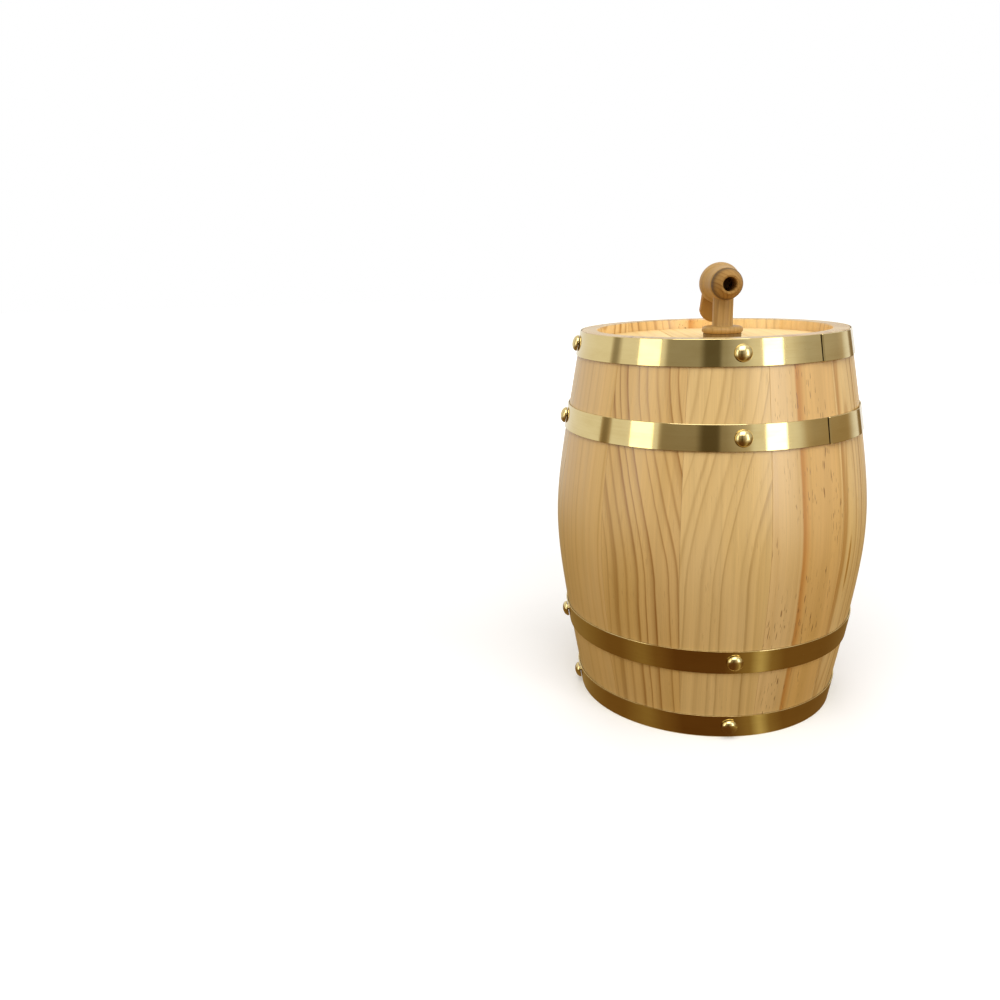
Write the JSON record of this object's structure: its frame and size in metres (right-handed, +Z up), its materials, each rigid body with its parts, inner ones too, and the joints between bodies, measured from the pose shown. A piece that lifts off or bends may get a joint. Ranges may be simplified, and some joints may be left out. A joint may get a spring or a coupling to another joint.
{
  "type": "wine barrel",
  "caption": "Small pine wine barrel standing on end: bent staves, nailed brass hoops, boarded heads, a bung, and a wooden tap whose spout turns with its lever.",
  "frame": {"origin": "centre of the barrel's lower end, on its axis, at the floor", "axes": "+Z up the barrel's axis towards the head with the tap, -Y the way the spout faces"},
  "size_m": [0.2048, 0.2086, 0.2912],
  "materials": {
    "pine": "bare sanded pine",
    "head_pine": "bare sanded pine",
    "brass": "polished, finely brushed round",
    "tap_wood": "turned, bare",
    "lever_wood": "sawn, bare",
    "cork": "matt, fine-grained"
  },
  "bodies": {
    "barrel": {"bottom_head_left": "head_pine", "bottom_head_middle": "head_pine", "bottom_head_right": "head_pine", "hoop_bottom_head": "brass", "hoop_bottom_quarter": "brass", "hoop_top_head": "brass", "hoop_top_quarter": "brass", "nail_bottom_head_back": "brass", "nail_bottom_head_front": "brass", "nail_bottom_head_left": "brass", "nail_bottom_head_right": "brass", "nail_bottom_quarter_back": "brass", "nail_bottom_quarter_front": "brass", "nail_bottom_quarter_left": "brass", "nail_bottom_quarter_right": "brass", "nail_top_head_back": "brass", "nail_top_head_front": "brass", "nail_top_head_left": "brass", "nail_top_head_right": "brass", "nail_top_quarter_back": "brass", "nail_top_quarter_front": "brass", "nail_top_quarter_left": "brass", "nail_top_quarter_right": "brass", "stave_01": "pine", "stave_02": "pine", "stave_03": "pine", "stave_04": "pine", "stave_05": "pine", "stave_06": "pine", "stave_07": "pine", "stave_08": "pine", "stave_09": "pine", "stave_10": "pine", "stave_11": "pine", "stave_12": "pine", "tap_body": "tap_wood", "top_head_left": "head_pine", "top_head_middle": "head_pine", "top_head_right": "head_pine"},
    "tap_key": {"key_lever": "lever_wood", "key_plug": "tap_wood"},
    "bung": {"bung": "cork"}
  },
  "joints": [
    {"name": "tap_key_turn", "type": "hinge", "parent": "barrel", "child": "tap_key", "pos_m": [0, -0.031, 0.2787], "axis": [0, 1, 0], "continuous": true},
    {"name": "bung_pull", "type": "slide", "parent": "barrel", "child": "bung", "axis": [0.0872, 0.9962, 0], "range_m": [0, 0.03]}
  ]
}
